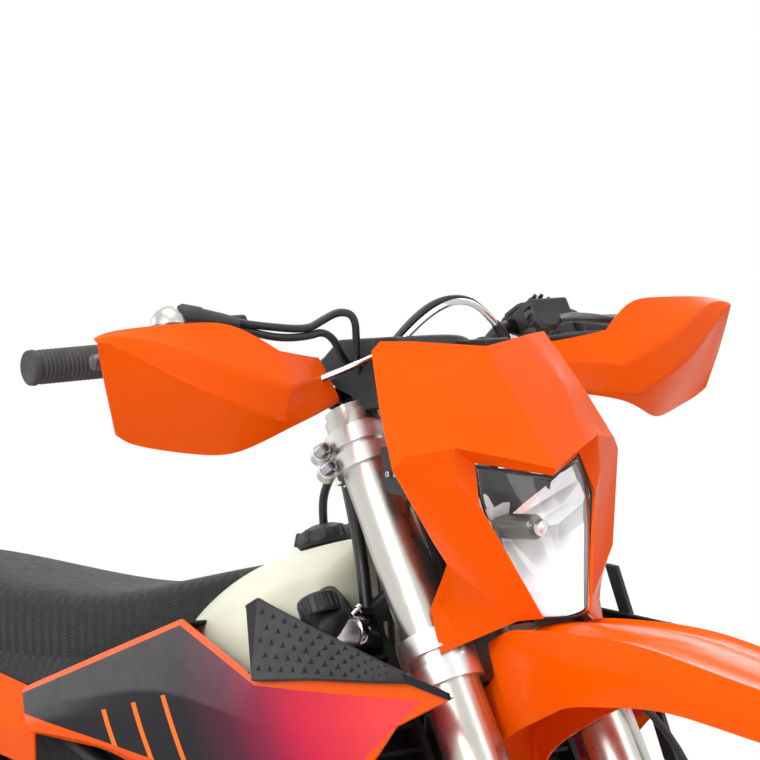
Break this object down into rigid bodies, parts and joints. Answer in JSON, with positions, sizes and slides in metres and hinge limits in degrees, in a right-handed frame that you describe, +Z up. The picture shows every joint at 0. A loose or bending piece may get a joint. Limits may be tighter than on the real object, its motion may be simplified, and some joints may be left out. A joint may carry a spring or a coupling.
{
  "type": "enduro dirt bike",
  "caption": "Full-size off-road motorcycle with high fenders, wire wheels, hand shields and a headlight mask, leaning on its side stand.",
  "frame": {"origin": "on the ground, below the middle of the overall box", "axes": "+X forward, +Y to the rider's left, +Z up; the bike leans to its left on the side stand"},
  "size_m": [2.2173, 0.8366, 1.3184],
  "materials": {
    "arm_alloy": "cast, satin",
    "axle_steel": "bare turned steel",
    "bar_metal": "black anodised, satin",
    "box_black": "fine grain",
    "caliper_black": "anodised",
    "cap_black": "moulded",
    "chain_metal": "oiled steel",
    "clamp_metal": "cast and machined, satin silver",
    "control_black": "cast, painted black",
    "cover_alloy": "cast, coated",
    "disc_steel": "ground, with a brushed ring",
    "engine_alloy": "cast, shot-blasted",
    "exhaust_steel": "heat-tinted tube",
    "fender_orange": "moulded, semi-gloss",
    "fork_silver": "clear anodised outer tubes, satin",
    "frame_paint": "black powder coat",
    "grip_rubber": "ribbed, matt",
    "guard_black": "fine grain",
    "hose_black": "smooth",
    "lens_clear": "clear",
    "lever_metal": "satin",
    "mask_orange": "moulded, semi-gloss",
    "pad_vinyl": "soft cover over foam",
    "panel_black": "moulded, semi-gloss",
    "peg_steel": "plain",
    "radiator_alloy": "fins and tanks",
    "rail_alloy": "black",
    "reflector": "facetted reflector",
    "rim_black": "black anodised, satin",
    "seat_cover": "grippy cover over foam",
    "shield_orange": "moulded, semi-gloss",
    "shock_metal": "coated spring steel",
    "shroud_orange": "moulded, with printed panels",
    "silencer_alloy": "brushed",
    "skid_alloy": "bare plate",
    "slider_steel": "polished",
    "sprocket_metal": "bare, satin",
    "stand_alloy": "forged, satin",
    "tail_red": "clear red",
    "tank_cream": "translucent moulded",
    "tyre": "matt moulded rubber"
  },
  "bodies": {
    "chassis": {"airbox": "box_black", "chain": "chain_metal", "chain_guide": "guard_black", "drive_sprocket": "sprocket_metal", "engine": "engine_alloy", "engine_covers": "cover_alloy", "exhaust_header": "exhaust_steel", "foot_levers": "lever_metal", "footpegs": "peg_steel", "frame": "frame_paint", "fuel_tank": "tank_cream", "knee_panels": "panel_black", "pivot_bolt": "axle_steel", "radiator_guards": "guard_black", "radiators": "radiator_alloy", "rear_axle": "axle_steel", "rear_caliper": "caliper_black", "rear_fender": "fender_orange", "seat": "seat_cover", "shock": "shock_metal", "shrouds": "shroud_orange", "side_panels": "shroud_orange", "silencer": "silencer_alloy", "skid_plate": "skid_alloy", "subframe": "rail_alloy", "swingarm": "arm_alloy", "tail_light": "tail_red", "tank_cap": "cap_black"},
    "steering": {"fork_tubes": "fork_silver", "fork_lowers": "slider_steel", "fork_guards": "guard_black", "front_axle": "axle_steel", "lower_clamp": "clamp_metal", "top_clamp": "clamp_metal", "handlebar": "bar_metal", "bar_pad": "pad_vinyl", "grips": "grip_rubber", "handguards": "shield_orange", "bar_controls": "control_black", "levers": "lever_metal", "headlight_mask": "mask_orange", "headlight": "reflector", "headlight_glass": "lens_clear", "front_fender": "fender_orange", "front_caliper": "caliper_black", "hoses": "hose_black"},
    "front_wheel_set": {"front_tyre": "tyre", "front_wheel": "rim_black", "front_disc": "disc_steel"},
    "rear_wheel_set": {"rear_tyre": "tyre", "rear_wheel": "rim_black", "rear_disc": "disc_steel", "sprocket": "sprocket_metal"},
    "stand": {"side_stand": "stand_alloy"}
  },
  "joints": [
    {"name": "steering_turn", "type": "hinge", "parent": "chassis", "child": "steering", "pos_m": [0.873, -0.23777, 0.00153], "axis": [-0.4457, 0.1708, 0.8787], "range_deg": [-38, 38]},
    {"name": "front_wheel_spin", "type": "hinge", "parent": "steering", "child": "front_wheel_set", "pos_m": [0.76118, -0.17137, 0.3432], "axis": [-0.0001, 0.9816, -0.1908], "continuous": true},
    {"name": "rear_wheel_spin", "type": "hinge", "parent": "chassis", "child": "rear_wheel_set", "pos_m": [-0.71882, -0.17252, 0.33808], "axis": [-0.0001, 0.9816, -0.1908], "continuous": true},
    {"name": "side_stand_fold", "type": "hinge", "parent": "chassis", "child": "stand", "pos_m": [-0.09083, -0.04696, 0.32335], "axis": [-0.1909, 0.9807, 0.0428], "range_deg": [0, 95]}
  ]
}
